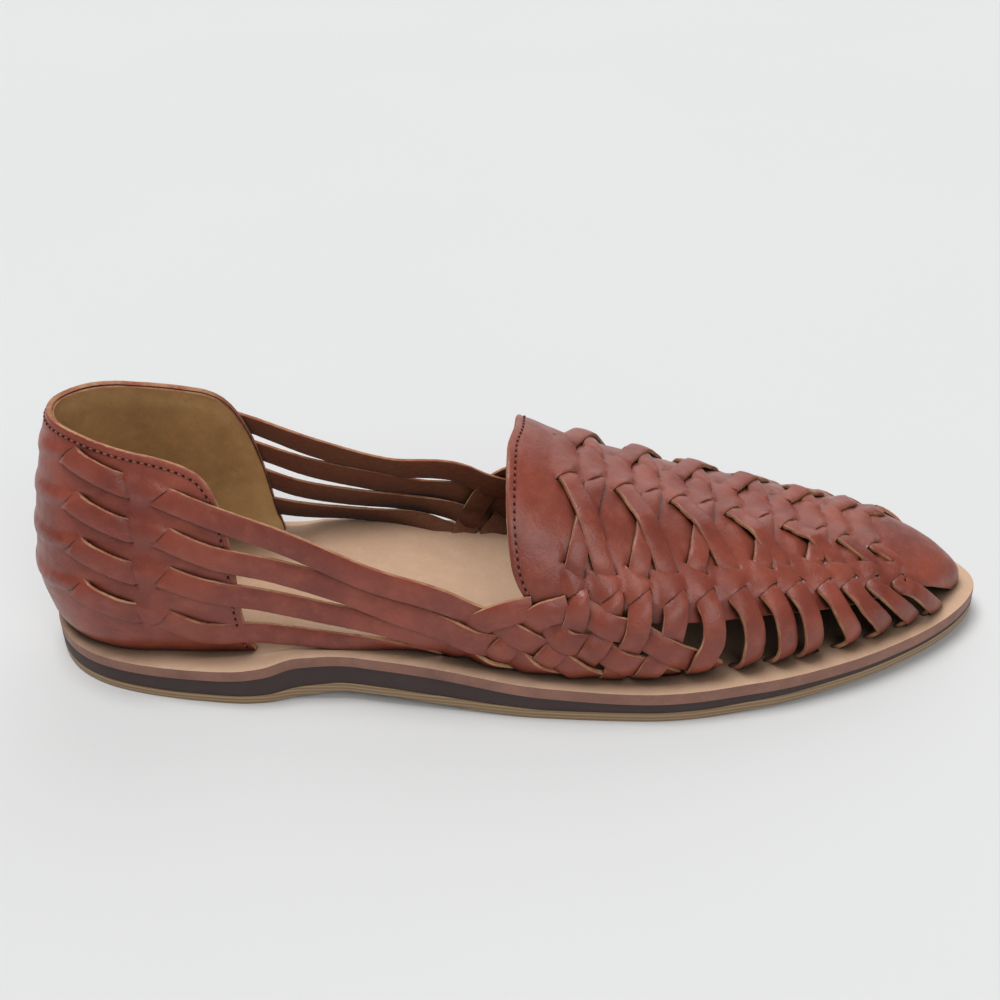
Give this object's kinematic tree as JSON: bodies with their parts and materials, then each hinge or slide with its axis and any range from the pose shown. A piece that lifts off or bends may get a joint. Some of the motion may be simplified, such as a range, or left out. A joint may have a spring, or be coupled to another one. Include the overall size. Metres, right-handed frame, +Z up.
{
  "type": "huarache sandal",
  "caption": "Right huarache sandal: woven leather vamp, open waist, heel counter held by side straps, on a thin flat layered sole.",
  "frame": {"origin": "on the ground, under the centre of the whole sandal's bounding box", "axes": "+X from the heel towards the toe, +Y towards the big toe side, +Z up"},
  "size_m": [0.3002, 0.1002, 0.081],
  "materials": {
    "upper_leather": "smooth vegetable-tanned leather, semi-gloss",
    "footbed_leather": "natural leather, matt",
    "midsole_rubber": "matt",
    "outsole_rubber": "gum rubber, matt"
  },
  "bodies": {
    "root": {"outsole": "outsole_rubber", "midsole": "midsole_rubber", "footbed": "footbed_leather", "vamp": "upper_leather", "heel_counter": "upper_leather", "heel_straps_lateral": "upper_leather", "heel_straps_medial": "upper_leather"}
  },
  "joints": []
}
